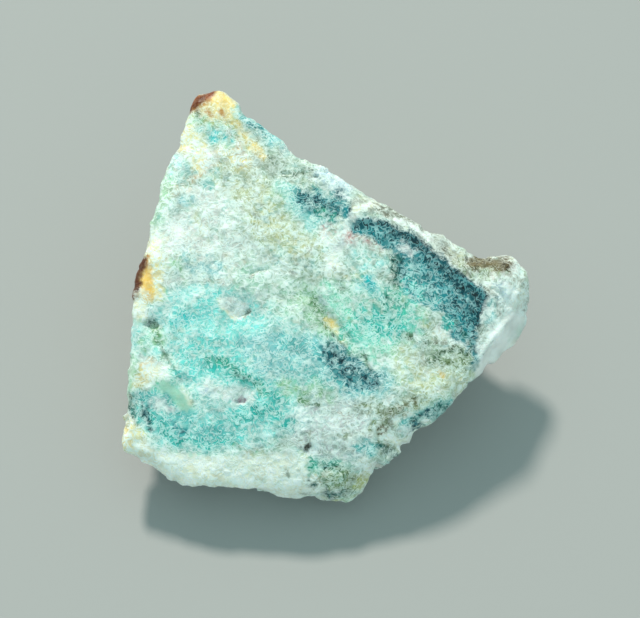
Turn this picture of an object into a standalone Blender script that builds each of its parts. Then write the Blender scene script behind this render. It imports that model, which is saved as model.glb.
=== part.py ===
"""A rough chunk of blue-green quartz: one natural piece, broken on every side.

The chunk is shaped in its own axes, in millimetres. U runs to the right across its broad
broken face, V runs up the face, and W comes straight out of it. It starts as a rough block
with the face's outline, which is cleaved, scooped and roughened on an even mesh. The
finished chunk is leaned back to the slope it rests at, with its foot cut flat at Z = 0 and
the middle of its bounding box over the origin.
"""

import math

import bmesh
import bpy
import numpy as np
from mathutils import Matrix, Vector, noise

MM = 0.001

# How the chunk stands.
FACE_LEAN = 28.0  # degrees between the broad face and the ground
FACE_HEIGHT = 19.0  # height of the face's middle above the ground
FOOT_CUT = 3.0  # the rough block reaches this far below the foot before it is cut

# The broad face: W at its middle, its slope to the right and upwards, and its crown.
FACE_LEVEL = 3.0
FACE_FALL_RIGHT = 0.05
FACE_FALL_UP = 0.06
FACE_CROWN = 0.0035
FACE_CENTRE = (-2.0, -2.0)
FACE_RINGS = (0.85, 0.7, 0.55, 0.4, 0.25, 0.1)

# The edge of the chunk, clockwise from its top left: U, V and the width of the bevel
# between this edge and the broad face.
BEVEL_SLOPE = 0.9
EDGE_SPARE = 0.35  # the edge starts this much further out, for the roughening to wear away
EDGE = (
    # Top corner, with its rusty cap
    (-20.7, 27.6, 0.9), (-20.1, 28.9, 1.3), (-18.5, 30.1, 1.6), (-16.7, 30.3, 1.2),
    (-15.0, 30.0, 0.8), (-13.8, 29.4, 0.8), (-12.5, 27.9, 0.8),
    # Long upper right edge
    (-10.5, 25.9, 0.7), (-8.3, 24.0, 0.7), (-7.4, 23.1, 0.7), (-6.0, 22.4, 0.8),
    (-4.1, 20.7, 0.8), (-2.6, 19.4, 0.8), (-1.0, 18.9, 1.0), (0.9, 17.8, 1.0),
    (2.8, 16.4, 1.2), (4.7, 15.0, 1.6),
    # Rounded shoulder above the dark band
    (6.7, 14.7, 2.6), (9.6, 13.5, 2.8), (11.9, 12.2, 2.6), (14.7, 10.2, 2.4),
    (16.3, 9.3, 2.6), (18.0, 8.9, 3.2), (20.7, 7.4, 4.0), (22.6, 6.4, 4.4),
    # Blunt right corner
    (24.6, 6.2, 4.8), (27.2, 6.3, 5.4), (28.9, 6.2, 5.6), (30.2, 5.2, 5.6),
    (30.7, 3.4, 5.4), (31.0, 0.3, 5.2), (30.8, -1.2, 5.2), (31.0, -2.4, 5.2),
    (30.3, -4.6, 5.0), (28.9, -6.4, 4.6), (26.3, -8.2, 3.6),
    # Long lower right edge
    (23.0, -11.1, 2.0), (20.7, -13.4, 1.3), (19.2, -14.8, 1.1), (18.2, -16.0, 1.1),
    (16.0, -17.3, 1.1), (13.7, -19.5, 1.1), (11.4, -21.5, 1.2), (9.3, -23.3, 1.6),
    # Front corner, which dips to the ground
    (7.9, -25.7, 2.4), (6.2, -28.2, 3.6), (4.6, -29.8, 4.4), (2.7, -30.7, 4.6),
    (0.1, -29.9, 4.0), (-2.8, -29.4, 2.8),
    # Lower left edge
    (-6.0, -28.7, 1.6), (-8.0, -27.9, 1.2), (-11.5, -28.1, 1.2), (-14.4, -28.2, 1.2),
    (-17.6, -27.8, 1.2), (-19.9, -27.2, 1.2), (-22.4, -25.9, 1.2), (-23.6, -24.7, 1.2),
    (-25.6, -24.3, 1.2), (-28.2, -23.3, 1.3), (-29.8, -22.3, 1.4),
    # Left edge, with its notch and its rusty strip
    (-29.8, -21.1, 1.3), (-29.4, -18.6, 1.3), (-28.7, -16.7, 1.2), (-28.0, -15.7, 1.0),
    (-28.7, -14.9, 1.0), (-28.7, -12.8, 1.0), (-28.4, -9.9, 0.9), (-27.8, -7.0, 0.9),
    (-28.1, -3.3, 1.0), (-27.8, -0.4, 1.8), (-27.1, 2.3, 2.2), (-26.5, 5.1, 2.0),
    (-25.8, 8.3, 1.0), (-25.0, 11.2, 0.8), (-23.9, 14.3, 0.8), (-22.6, 17.6, 0.8),
    (-21.4, 21.1, 0.8), (-20.5, 23.9, 0.8), (-20.2, 25.8, 0.8),
)

# Below its edge the chunk takes a simpler outline: corners as U, V.
BELLY_DEPTH = 6.0  # W below the face's middle
BELLY = (
    (-18.6, 27.4), (-14.4, 28.4), (-4.8, 19.4), (5.8, 13.4), (15.0, 9.2), (24.0, 5.0),
    (29.0, 3.6), (28.4, -2.6), (21.4, -11.2), (8.6, -22.4), (3.2, -28.6), (-4.0, -27.2),
    (-20.0, -25.8), (-28.6, -21.8), (-28.0, -13.0), (-26.6, -3.0), (-24.2, 6.4), (-19.4, 22.0),
)

# Flat breaks that the flanks are cleaved along: bearing from +U, distance from the face's
# centre at the given W, that W, and how far the break faces down (degrees). Where there are
# two together, they meet in a hollow corner, and the chunk keeps what lies behind either.
CLEAVES = (
    ((168.0, 25.0, -1.0, 11.0),),  # left flank, below the rusty strip
    ((152.0, 24.5, -15.0, 34.0),),
    ((190.0, 22.5, -11.0, 42.0),),
    ((96.0, 33.8, -3.0, 7.0),),  # back, below the top corner
    ((112.0, 27.0, -22.0, 38.0),),
    ((52.0, 17.4, -2.0, 4.0), (66.0, 19.2, -3.0, 9.0)),  # back, below the long edge
    ((72.0, 21.5, -20.0, 24.0),),
    ((34.0, 21.0, -17.0, 33.0),),
    ((2.0, 32.4, -7.0, 38.0),),  # below the right corner
    ((-14.0, 25.0, -11.0, 52.0),),
    ((-47.0, 24.4, -2.5, 27.0),),  # right flank, over the front corner
    ((-58.0, 20.0, -11.0, 50.0),),
    ((-82.0, 28.6, -3.5, 40.0),),
    ((-99.0, 27.8, -1.5, 30.0),),  # lower left flank
    ((-112.0, 23.5, -7.0, 55.0),),
    ((-141.0, 34.8, -0.5, 38.0),),  # below the left corner
    ((-160.0, 27.0, -5.5, 52.0),),
)
# Shell-shaped fractures in the flanks: bearing from +U, distance and W of the middle of the
# scoop, how far it faces down (degrees), the radius of the shell and how deep it bites.
SCOOPS = (
    (86.0, 26.0, -15.0, 12.0, 30.0, 1.8),
    (50.0, 18.0, -11.0, 10.0, 24.0, 1.6),
    (40.0, 19.0, -22.0, 30.0, 22.0, 1.8),
    (16.0, 24.0, -13.0, 40.0, 20.0, 1.6),
    (-40.0, 21.0, -8.5, 38.0, 18.0, 1.4),
    (-124.0, 27.0, -5.0, 45.0, 16.0, 1.0),
    (174.0, 23.0, -10.0, 24.0, 22.0, 1.4),
    (150.0, 22.0, -22.0, 34.0, 24.0, 2.0),
)
# Hollows under the foot: U, V of the middle, radius of the shell and height above the ground.
FOOT_HOLLOWS = ((-13.0, 12.0, 34.0, 1.1), (9.0, -9.0, 30.0, 0.9), (-17.0, -14.0, 26.0, 1.2))

# Creases in the broad face: points as U, V, then width, depth, and the height of the ledge
# on the crease's left as it runs.
CREASES = (
    (((-24.4, -6.4), (-22.2, -9.6), (-19.9, -12.8)), 1.4, 0.45, -0.35),
    (((-2.2, 1.2), (0.6, -3.4), (3.4, -7.4), (7.6, -12.6)), 2.4, 0.4, 0.5),
    (((-11.6, 3.4), (-9.8, 4.4), (-8.0, 4.7)), 1.2, 0.3, 0.2),
)
LEDGE_REACH = 5.0  # a ledge fades out this far from its crease
WANDER = 0.9  # creases, pits and swells stray this far from their drawn lines
# Pits in the face: U, V, radius, depth.
PITS = (
    (-24.7, -4.1, 1.5, 1.0),
    (-28.2, -15.8, 1.3, 1.2),
    (24.4, 4.4, 3.2, 1.5),
    (-11.7, -2.0, 1.7, 0.5),
    (-11.9, -14.6, 1.4, 0.5),
    (-2.3, -21.8, 1.1, 0.6),
    (2.0, -28.4, 1.6, 0.7),
)
# Swells in the face: U, V, radius, height.
SWELLS = (
    (-23.0, -12.6, 4.2, 0.7),
    (-12.5, 0.2, 2.6, 0.5),
    (7.4, 13.2, 2.2, 0.7),
    (-14.0, 26.4, 4.0, 0.6),
    (14.0, -13.0, 7.0, 0.6),
    (-14.0, 12.0, 9.0, 0.5),
)

# Roughness all over: size of the lumps and their height, on the flanks and on the face.
LUMPS = ((11.0, 0.8, 0.34), (4.5, 0.35, 0.26), (2.2, 0.18, 0.16))
# Small flat breaks: their spacing, how far they stand in or out, how much they tilt, and
# the share of both that is left on the face.
CHIPS = ((9.0, 0.75, 1.3, 0.10), (4.6, 0.4, 0.7, 0.16))
# The scoops start this far below the face, and are full this much further down.
EDGE_DEPTH = 3.0
EDGE_FADE = 4.0

VOXEL = 0.5  # size of the even faces that the chunk is sculpted on
KEPT_FACES = 0.115  # share of those faces that the finished solid keeps
GROUND_SIZE = 200.0  # the cutter that flattens the foot
NOISE_SEED = 4

LEAN = math.radians(FACE_LEAN)


def clear_scene():
    for obj in list(bpy.data.objects):
        bpy.data.objects.remove(obj)


def face_level(u, v):
    """W of the broad face at U, V."""
    return FACE_LEVEL - FACE_FALL_RIGHT * u - FACE_FALL_UP * v - FACE_CROWN * (u * u + v * v)


def ground_level(v):
    """W of the ground at V, once the chunk is leaned back."""
    return -(FACE_HEIGHT + math.sin(LEAN) * v) / math.cos(LEAN)


def reach(polygon, bearing):
    """Distance from the face's centre to the polygon's outline, along a bearing in radians."""
    centre = Vector(FACE_CENTRE)
    ray = Vector((math.cos(bearing), math.sin(bearing)))
    far = []
    for start, end in zip(polygon, polygon[1:] + polygon[:1]):
        a = Vector(start) - centre
        side = Vector(end) - Vector(start)
        turn = ray.cross(side)
        if abs(turn) < 1e-9:
            continue
        along_ray = a.cross(side) / turn
        along_side = a.cross(ray) / turn
        if along_ray > 0 and 0 <= along_side <= 1:
            far.append(along_ray)
    return max(far)


def ring_points():
    """The rings of the rough block, from the face's middle down to below the foot."""
    centre = Vector(FACE_CENTRE)
    edge = [Vector((u, v)) for u, v, _ in EDGE]
    edge = [p + (p - centre).normalized() * EDGE_SPARE for p in edge]
    bevels = [bevel for _, _, bevel in EDGE]
    shoulder = [p + (centre - p).normalized() * b for p, b in zip(edge, bevels)]
    rings = [[centre.lerp(p, share) for p in shoulder] for share in reversed(FACE_RINGS)]
    rings.append(shoulder)
    solid = [[(p.x, p.y, face_level(p.x, p.y)) for p in ring] for ring in rings]
    solid.append([(p.x, p.y, face_level(p.x, p.y) - BEVEL_SLOPE * b) for p, b in zip(edge, bevels)])
    bearings = [math.atan2(*(p - centre).yx) for p in edge]
    rays = [Vector((math.cos(b), math.sin(b))) for b in bearings]
    belly = [centre + ray * reach(BELLY, b) for ray, b in zip(rays, bearings)]
    solid.append([(p.x, p.y, max(-BELLY_DEPTH, ground_level(p.y) + 1)) for p in belly])
    solid.append([(p.x, p.y, ground_level(p.y) - FOOT_CUT) for p in belly])
    return solid


def rough_block():
    """A closed mesh through all the rings."""
    bm = bmesh.new()
    rings = [[bm.verts.new(p) for p in ring] for ring in ring_points()]
    count = len(EDGE)
    for upper, lower in zip(rings, rings[1:]):
        for i in range(count):
            j = (i + 1) % count
            bm.faces.new((upper[i], upper[j], lower[j], lower[i]))
    bm.faces.new(reversed(rings[0]))
    bm.faces.new(rings[-1])
    bmesh.ops.recalc_face_normals(bm, faces=bm.faces)
    mesh = bpy.data.meshes.new("quartz_crystal")
    bm.to_mesh(mesh)
    bm.free()
    chunk = bpy.data.objects.new("quartz_crystal", mesh)
    bpy.context.scene.collection.objects.link(chunk)
    return chunk


def remesh(chunk):
    """Rebuild the surface as even squares, and drop any crumb that comes loose."""
    modifier = chunk.modifiers.new("even_faces", "REMESH")
    modifier.mode = "VOXEL"
    modifier.voxel_size = VOXEL
    bpy.context.view_layer.objects.active = chunk
    bpy.ops.object.modifier_apply(modifier=modifier.name)
    bm = bmesh.new()
    bm.from_mesh(chunk.data)
    body = connected(max(bm.verts, key=lambda v: v.co.z))
    bmesh.ops.delete(bm, geom=[v for v in bm.verts if v not in body], context="VERTS")
    bm.to_mesh(chunk.data)
    bm.free()


def connected(start):
    """All vertices that edges join to this one."""
    body, front = {start}, [start]
    while front:
        for edge in front.pop().link_edges:
            for vert in edge.verts:
                if vert not in body:
                    body.add(vert)
                    front.append(vert)
    return body


def vertex_arrays(chunk):
    """Positions and outward normals of the chunk's vertices."""
    mesh = chunk.data
    points = np.empty(len(mesh.vertices) * 3)
    normals = np.empty(len(mesh.vertices) * 3)
    mesh.vertices.foreach_get("co", points)
    mesh.vertex_normals.foreach_get("vector", normals)
    return points.reshape(-1, 3), normals.reshape(-1, 3)


def store(chunk, points):
    chunk.data.vertices.foreach_set("co", points.ravel())
    chunk.data.update()


def push_out(points, centre, radius):
    """Move the points inside a sphere straight out to its surface, which leaves a shell-shaped
    hollow. It fades out towards the face, so that the chunk's edge keeps its line."""
    away = points - np.array(centre)
    distance = np.linalg.norm(away, axis=1)
    below_face = face_level(points[:, 0], points[:, 1]) - points[:, 2]
    hold = np.clip((below_face - EDGE_DEPTH) / EDGE_FADE, 0, 1)
    push = np.where(distance < radius, radius / distance - 1, 0) * hold
    points += away * push[:, None]


def flank_place(bearing, distance, level, down):
    """A place on the flanks, and the direction that a break there faces."""
    turn, tilt = math.radians(bearing), math.radians(down)
    place = Vector((*FACE_CENTRE, level)) + distance * Vector((math.cos(turn), math.sin(turn), 0))
    out = Vector((math.cos(turn) * math.cos(tilt), math.sin(turn) * math.cos(tilt), -math.sin(tilt)))
    return place, out


def cleave_flanks(points):
    """Press all that stands out past the flat breaks back onto them."""
    for breaks in CLEAVES:
        places = [flank_place(*where) for where in breaks]
        past = np.array([(points - np.array(place)) @ np.array(out) for place, out in places])
        nearest = past.argmin(axis=0)
        outward = np.array([out for _, out in places])[nearest]
        points -= np.maximum(past.min(axis=0), 0)[:, None] * outward


def scoop_flanks(points):
    for *where, radius, bite in SCOOPS:
        place, out = flank_place(*where)
        push_out(points, place + out * (radius - bite), radius)


def hollow_foot(points):
    down = Vector((0, -math.sin(LEAN), -math.cos(LEAN)))
    for u, v, radius, height in FOOT_HOLLOWS:
        push_out(points, Vector((u, v, ground_level(v))) + down * (radius - height), radius)


def path_distance(flat, path):
    """Distance of each U, V from a path, and which side of it: positive on the left as it runs."""
    nearest = np.full(len(flat), np.inf)
    side = np.zeros(len(flat))
    for start, end in zip(path, path[1:]):
        a, run = np.array(start), np.array(end) - np.array(start)
        share = np.clip((flat - a) @ run / (run @ run), 0, 1)
        gap = flat - (a + share[:, None] * run)
        distance = np.linalg.norm(gap, axis=1)
        closer = distance < nearest
        nearest[closer] = distance[closer]
        side[closer] = np.sign(run[0] * gap[closer, 1] - run[1] * gap[closer, 0])
    return nearest, side


def shape_face(points, normals):
    """Creases, pits and swells of the broad face, cut or raised along W."""
    stray = np.array([noise.noise_vector(Vector(p) / 3) for p in points])
    flat = points[:, :2] + stray[:, :2] * WANDER
    facing = np.clip(normals[:, 2] * 2 - 0.4, 0, 1)
    for path, width, depth, ledge in CREASES:
        distance, side = path_distance(flat, path)
        cut = depth * np.exp(-((distance / width) ** 2) * 3)
        lift = ledge * np.exp(-distance / LEDGE_REACH * 2) * (side > 0)
        points[:, 2] += (lift - cut) * facing
    for u, v, radius, height in [(*pit[:3], -pit[3]) for pit in PITS] + list(SWELLS):
        distance = np.hypot(flat[:, 0] - u, flat[:, 1] - v)
        points[:, 2] += height * np.exp(-((distance / radius) ** 2) * 1.5) * facing


def chip(point, spacing):
    """The flat break at a point, for breaks of this spacing: how far the whole break stands
    out, and how far its tilt lifts the point, both from about -1 to 1."""
    centre = noise.voronoi(point / spacing)[1][0]
    tilt = noise.noise_vector(centre * 7.3)
    return noise.noise(centre * 5.7), tilt.dot(point / spacing - centre)


def roughen(points, normals):
    """Lumps all over, and small flat breaks, mostly on the flanks."""
    on_face = np.clip(normals[:, 2] * 2 - 0.4, 0, 1)
    shift = np.zeros(len(points))
    for size, flank_height, face_height in LUMPS:
        lump = np.array([noise.noise(Vector(p) / size) for p in points])
        shift += lump * (flank_height + (face_height - flank_height) * on_face)
    for spacing, offset, tilt, face_share in CHIPS:
        stands_out, lift = np.array([chip(Vector(p), spacing) for p in points]).T
        shift += (stands_out * offset + lift * tilt) * (1 + (face_share - 1) * on_face)
    points += normals * shift[:, None]


def thin_out(chunk):
    """Merge faces where the surface is nearly flat."""
    fewer = chunk.modifiers.new("fewer_faces", "DECIMATE")
    fewer.ratio = KEPT_FACES
    bpy.context.view_layer.objects.active = chunk
    bpy.ops.object.modifier_apply(modifier=fewer.name)


def cut_foot(chunk):
    """Take away all that lies below the ground, which leaves the foot flat."""
    bpy.ops.mesh.primitive_cube_add(size=GROUND_SIZE, location=(0, 0, -GROUND_SIZE / 2))
    ground = bpy.context.object
    cut = chunk.modifiers.new("flat_foot", "BOOLEAN")
    cut.operation = "DIFFERENCE"
    cut.object = ground
    bpy.context.view_layer.objects.active = chunk
    bpy.ops.object.modifier_apply(modifier=cut.name)
    bpy.data.objects.remove(ground)


def stand(chunk):
    """Lean the chunk back on its flat foot, centre it over the origin, and scale it to metres."""
    lean = Matrix.Translation((0, 0, FACE_HEIGHT)) @ Matrix.Rotation(LEAN, 4, "X")
    chunk.data.transform(lean)
    remesh(chunk)
    thin_out(chunk)
    cut_foot(chunk)
    middle = [(min(axis) + max(axis)) / 2 for axis in zip(*(v.co for v in chunk.data.vertices))]
    centre = Matrix.Translation((-middle[0], -middle[1], 0))
    chunk.data.transform(Matrix.Scale(MM, 4) @ centre)
    print("the face's middle stands over", [round(-m, 2) for m in middle[:2]], "mm")


def quartz_material():
    """Milky quartz stained blue-green by copper."""
    material = bpy.data.materials.new("blue_green_quartz")
    material.use_nodes = True
    shader = material.node_tree.nodes["Principled BSDF"]
    shader.inputs["Base Color"].default_value = (0.48, 0.72, 0.64, 1)
    shader.inputs["Roughness"].default_value = 0.55
    shader.inputs["Metallic"].default_value = 0.0
    return material


def main():
    clear_scene()
    noise.seed_set(NOISE_SEED)
    chunk = rough_block()
    remesh(chunk)
    points, _ = vertex_arrays(chunk)
    cleave_flanks(points)
    store(chunk, points)
    remesh(chunk)
    points, _ = vertex_arrays(chunk)
    scoop_flanks(points)
    hollow_foot(points)
    store(chunk, points)
    remesh(chunk)
    points, normals = vertex_arrays(chunk)
    shape_face(points, normals)
    roughen(points, normals)
    store(chunk, points)
    stand(chunk)
    chunk.data.materials.append(quartz_material())


main()
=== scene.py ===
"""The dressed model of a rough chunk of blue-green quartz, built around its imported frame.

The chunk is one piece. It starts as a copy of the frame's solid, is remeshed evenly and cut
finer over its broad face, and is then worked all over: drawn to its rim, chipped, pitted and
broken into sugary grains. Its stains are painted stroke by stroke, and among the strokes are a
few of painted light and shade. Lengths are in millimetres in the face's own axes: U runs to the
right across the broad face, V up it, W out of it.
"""

import math

import bpy
import numpy as np
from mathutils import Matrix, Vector


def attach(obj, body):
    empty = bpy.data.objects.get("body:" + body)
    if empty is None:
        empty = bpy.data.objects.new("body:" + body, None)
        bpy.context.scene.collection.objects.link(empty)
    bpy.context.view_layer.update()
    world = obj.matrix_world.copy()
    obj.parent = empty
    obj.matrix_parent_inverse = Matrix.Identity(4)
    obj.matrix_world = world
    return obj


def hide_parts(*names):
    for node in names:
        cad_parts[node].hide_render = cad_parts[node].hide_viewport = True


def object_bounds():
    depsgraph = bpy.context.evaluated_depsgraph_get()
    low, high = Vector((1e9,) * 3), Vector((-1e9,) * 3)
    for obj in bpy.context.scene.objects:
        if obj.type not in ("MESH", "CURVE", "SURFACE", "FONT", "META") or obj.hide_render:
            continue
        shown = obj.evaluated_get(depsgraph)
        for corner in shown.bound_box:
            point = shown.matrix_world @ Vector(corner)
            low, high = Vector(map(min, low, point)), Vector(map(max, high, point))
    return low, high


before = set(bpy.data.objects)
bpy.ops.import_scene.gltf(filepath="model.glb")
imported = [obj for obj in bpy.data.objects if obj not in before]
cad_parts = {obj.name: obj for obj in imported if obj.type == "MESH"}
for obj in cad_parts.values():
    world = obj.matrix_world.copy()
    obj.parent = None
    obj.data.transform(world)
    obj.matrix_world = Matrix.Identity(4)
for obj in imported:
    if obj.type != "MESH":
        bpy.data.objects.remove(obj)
cad_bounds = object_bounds()

MM = 0.001

# Where the broad face lies in the frame: its middle, and how far it leans back.
FACE_MIDDLE = (-0.56, -2.49, 19.0)
FACE_LEAN = math.radians(28.0)
RIGHTWARDS = np.array((1.0, 0.0, 0.0))
UPWARDS = np.array((0.0, math.cos(FACE_LEAN), math.sin(FACE_LEAN)))
OUTWARDS = np.array((0.0, -math.sin(FACE_LEAN), math.cos(FACE_LEAN)))
# W at the face's middle, its slope to the right and upwards.
FACE_LEVEL = 3.0
FACE_FALL_RIGHT = 0.05
FACE_FALL_UP = 0.06

# The camera looks straight onto the face's axes, at this point and over this width.
VIEW_CENTRE = (-0.58, -1.75)
VIEW_WIDTH = 93.16
LENS = 100.0
SENSOR = 36.0
NEAREST = 0.01  # metres from the camera to the nearest that it shows

# Stains, and a few strokes of painted light and shade, are placed by pixels of the camera's
# frame, which is 640 wide and 618 high: the pixels to a millimetre of the broad face, and the
# pixel that the middle of its axes is on.
PIXELS_PER_MM = 6.87
AXES_PIXEL = (324, 297)
PLACE_DIGITS = 1  # places are taken to a tenth of a millimetre


def millimetres(pixels):
    """A length on the broad face, from its pixels in the frame."""
    return round(pixels / PIXELS_PER_MM, PLACE_DIGITS)


def face_path(path):
    """A path of frame pixels as places U, V on the broad face."""
    across, down = AXES_PIXEL
    return tuple((millimetres(x - across), millimetres(down - y)) for x, y in path)


# A crease and a notch by the left edge, as paths of frame pixels.
LEFT_CREASE = ((160, 346), (171, 364), (183, 382))
LEFT_NOTCH = ((130, 404), (135, 416))

# The mesh: its first even spacing, and the distance within which vertices are merged.
VOXEL = 0.415
MERGE = 0.001
# How strongly one pass smooths, and the passes over everything, over the middle of the broad
# face, and over the finer mesh. A depth is measured below the face, and a facing is the share
# of a normal that points out of it.
SMOOTHING = 0.5
SOFTEN_ALL = 3
SOFTEN_FACE = 11
SOFTEN_FINE = 2
FACE_DEPTH = 2.0
FACE_FACING = 0.93
# The mesh is halved down to the fine depth, and thinned to a share of its triangles on the
# flanks.
FINE_DEPTH = 3.2
FINE_FACING = 0.25
FLANK_DEPTH = 4.5
FLANK_SHARE = 0.57
ANY_FACING = -1.1
# The flat foot, and the height over which the surface starts to break above it.
FOOT_LEVEL = 0.05
FOOT_FACING = -0.9
FOOT_RISE = 0.6
BOX_SPARE = 0.02

# Packed grains, as shares of their size: how far their middles wander and their tops rise.
GRAIN_WANDER = 0.42
GRAIN_RISE = 0.35
# Sizes of the broken surface, coarse to fine: grain size, tilt, the flat share of a grain's
# top, how deep it drops off, and the seed of its draws.
CHUNKS = (3.4, 0.12, 0.3, 0.30, 11)
CHIPS = (1.3, 0.09, 0.3, 0.13, 12)
SUGAR = (0.44, 0.13, 0.26, 0.17, 13)
# Facings and depths between which the broad face sets in, and how much it calms the chips.
ON_FACE_FACING = (0.35, 0.75)
ON_FACE_DEPTH = (5.0, 3.0)
FACE_CALM = 0.92
# How much the glassy places calm the grit and the curls, and the full share of their reach.
GRIT_CALM = 0.75
CURL_CALM = 0.8
GLASSY_CORE = 0.4

# The finish. Each noise is its scale per metre of the piece, its detail and its twist; levels
# and widths are on the noise's own range. Frosty crests curl through the stained colour beside
# cracks, darker lines that are partly the gaps between grains and partly painted shade set on one
# side of each crest.
CURL_NOISE = (1350.0, 0.8, 1.2)
CREST_LEVEL = 0.5
CREST_WIDTH = 0.12
SHADED_CRACK_LEVEL = 0.6
SHADED_CRACK_WIDTH = 0.07
CREST_CORE = 0.25
# The broader crests of the pale ground.
WIDE_NOISE = (1000.0, 1.0, 1.0)
WIDE_WIDTH = 0.12
FINE_IN_PALE = 0.5
# Where the crests thin out.
BROKEN_NOISE = (900.0, 1.0, 0.0)
BROKEN = (0.28, 0.42)
THINNED = 0.25
# The span of brightness over which crests, cracks and the pale ground change, and how
# strongly each shows at its ends.
PAINT_TONES = (0.05, 0.4)
CREST_SHARE = (0.6, 0.8)
CREST_WHITE = (0.15, 0.45)
SHADED_CRACK_TONES = (0.1, 0.6)
SHADED_CRACK_DEPTH = (0.9, 0.5)
PALE_TONES = (0.5, 0.85)
PALE_CREST_SHARE = (0.55, 0.95)
PALE_CREST_WHITE = 0.9
PALE_DEPTH = (0.35, 0.6)
PALE = (0.3, 0.55)
# Blue over red, below which rusty and yellow stains run smooth, and what they keep of the curls.
WARM = (0.15, 0.6)
WARM_KEEPS = 0.2
LIFT = 0.38
FROSTING = (0.88, 1.0, 0.96, 1.0)
# Slow changes of tone.
HAZE_NOISE = (450.0, 1.5, 0.0)
HAZE_SPAN = (0.35, 0.65)
HAZE = (0.86, 1.04)
# The quartz under the paint. Reach and height are in metres.
REFRACTION = 1.54
SHINE = 0.3
INNER_LIGHT = 0.5
INNER_LIGHT_TINT = (1.0, 0.95, 0.85)
INNER_LIGHT_REACH = 0.0010
ROUGHNESS = (0.35, 0.6)
CREST_STRENGTH = 0.5
CREST_HEIGHT = 0.0001

# Noise that the paint follows: each with its blot size and seed. The edges of the strokes sway
# and ripple, fully from a reach on, and single grains take a stroke or leave it by their draw.
SWAY = 2.0
SWAY_FULL = 2.5
SWAY_NOISES = ((2.6, 31), (2.6, 32))
RIPPLE = 1.3
RIPPLE_FULL = 0.8
RIPPLE_NOISES = ((0.9, 33), (0.9, 34))
DRAW_NOISE = (0.6, 71)
DRAW_SPAN = (0.28, 0.72)
CURDLE = 0.22
CURDLE_NOISE = (0.8, 75)
MOTTLE_NOISE = (1.1, 74)
MOTTLE_SPAN = (0.25, 0.75)
MOTTLE_TONE = 0.92
MOTTLE_GAIN = 0.15
RUST_NOISE = (2.6, 41)
RUST_SPAN = (0.25, 0.8)
# A cloud's layers: size, share and step of the seed.
LAYERS = ((1.0, 1.0, 0), (0.47, 0.5, 50), (0.22, 0.25, 90))
# The part of a stroke's reach that is full, and where it ends.
STROKE_CORE = 0.3
STROKE_END = 1.3
ROUGHNESS_GAIN = 4.0
# Where the face's stains and painted light and shade give way to the flanks' colours, as depths and
# facings.
STAINED_DEPTH = (9.0, 6.0)
STAINED_FACING = (-0.3, 0.05)
BRIGHTEST = 0.97

# The studio's light on the broad face, which the palette's display colours are seen in.
STUDIO_LIGHT = np.array((0.816, 1.02, 0.97))

# Palette, as display colours.
PALETTE = {
    "milk": (188, 225, 210), "frost": (222, 244, 236), "ice": (200, 236, 240),
    "ice_white": (232, 255, 250), "lilac": (210, 232, 228), "pink": (206, 188, 182),
    "peach": (228, 222, 190), "cream": (206, 232, 202), "cream_warm": (255, 244, 204),
    "cream_white": (242, 250, 228), "cream_yellow": (220, 226, 170), "cream_grey": (170, 192, 178),
    "cream_green": (234, 254, 238), "straw": (228, 222, 142), "straw_pale": (198, 217, 168),
    "amber": (226, 204, 104), "ochre": (176, 136, 60), "rust": (130, 68, 12),
    "rust_dark": (88, 38, 0), "olive": (124, 156, 112), "olive_brown": (92, 86, 46),
    "olive_dark": (44, 50, 20), "umber": (104, 112, 84), "umber_grey": (126, 142, 124),
    "moss": (88, 126, 98), "moss_pale": (150, 188, 152), "fern": (104, 160, 116),
    "fern_pale": (152, 212, 168), "fern_dark": (44, 82, 46), "fern_night": (8, 60, 46),
    "gold_green": (172, 194, 104), "celadon": (176, 226, 196), "mint": (150, 234, 208),
    "mint_deep": (104, 220, 198), "mint_mist": (184, 232, 212), "pale_green": (178, 210, 190),
    "grey_green": (168, 198, 180), "aqua_mist": (160, 234, 226), "aqua": (114, 226, 216),
    "aqua_bright": (34, 204, 204), "aqua_light": (142, 238, 228), "aqua_deep": (52, 196, 184),
    "sea_green": (66, 182, 158), "sea_dark": (10, 96, 86), "blue_mist": (136, 212, 210),
    "teal_pale": (98, 198, 192), "teal": (24, 140, 146), "teal_dark": (0, 84, 94),
    "teal_night": (0, 56, 66), "slate": (56, 150, 156), "slate_dark": (10, 88, 98),
    "mauve": (168, 158, 168), "stone": (176, 182, 168),
}

# Patches in the milky ground: colour, blot size, where each starts and is full, strength, seed.
GROUND = (
    ("aqua_mist", 6.0, 0.45, 0.62, 0.6, 61),
    ("pale_green", 4.0, 0.45, 0.62, 0.65, 62),
    ("cream_green", 3.4, 0.5, 0.7, 0.8, 64),
    ("straw_pale", 2.8, 0.54, 0.70, 0.5, 67),
    ("pink", 2.4, 0.56, 0.72, 0.35, 66),
    ("blue_mist", 1.8, 0.52, 0.68, 0.55, 68),
    ("grey_green", 2.0, 0.55, 0.72, 0.5, 65),
    ("frost", 1.9, 0.5, 0.62, 0.75, 63),
)

# Colours down the flanks: colour, bearing from +U round the middle, half width in degrees,
# from and to which depth below the face, and strength.
FLANK_MIDDLE = (-2.0, -2.0)
FLANK_FADE_IN = 1.5
FLANK_FADE_OUT = 4.0
FLANKS = (
    ("stone", 0, 360, 3.0, 40.0, 0.6),
    ("cream_warm", 175, 40, 0.0, 30.0, 0.5),
    ("ice_white", 330, 45, 0.0, 30.0, 0.6),
    ("straw_pale", 60, 50, 3.0, 30.0, 0.5),
    ("ochre", 165, 24, 0.3, 11.0, 0.9),
    ("rust", 160, 18, 0.5, 13.0, 0.9),
    ("peach", 208, 12, 0.5, 9.0, 0.7),
    ("rust_dark", 122, 8, 0.0, 5.0, 0.95),
    ("teal_pale", 85, 20, 2.0, 12.0, 0.7),
    ("olive_brown", 18, 14, 0.0, 6.0, 0.8),
    ("blue_mist", 250, 25, 5.0, 20.0, 0.6),
    ("sea_green", 275, 15, 2.0, 12.0, 0.7),
)

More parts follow.
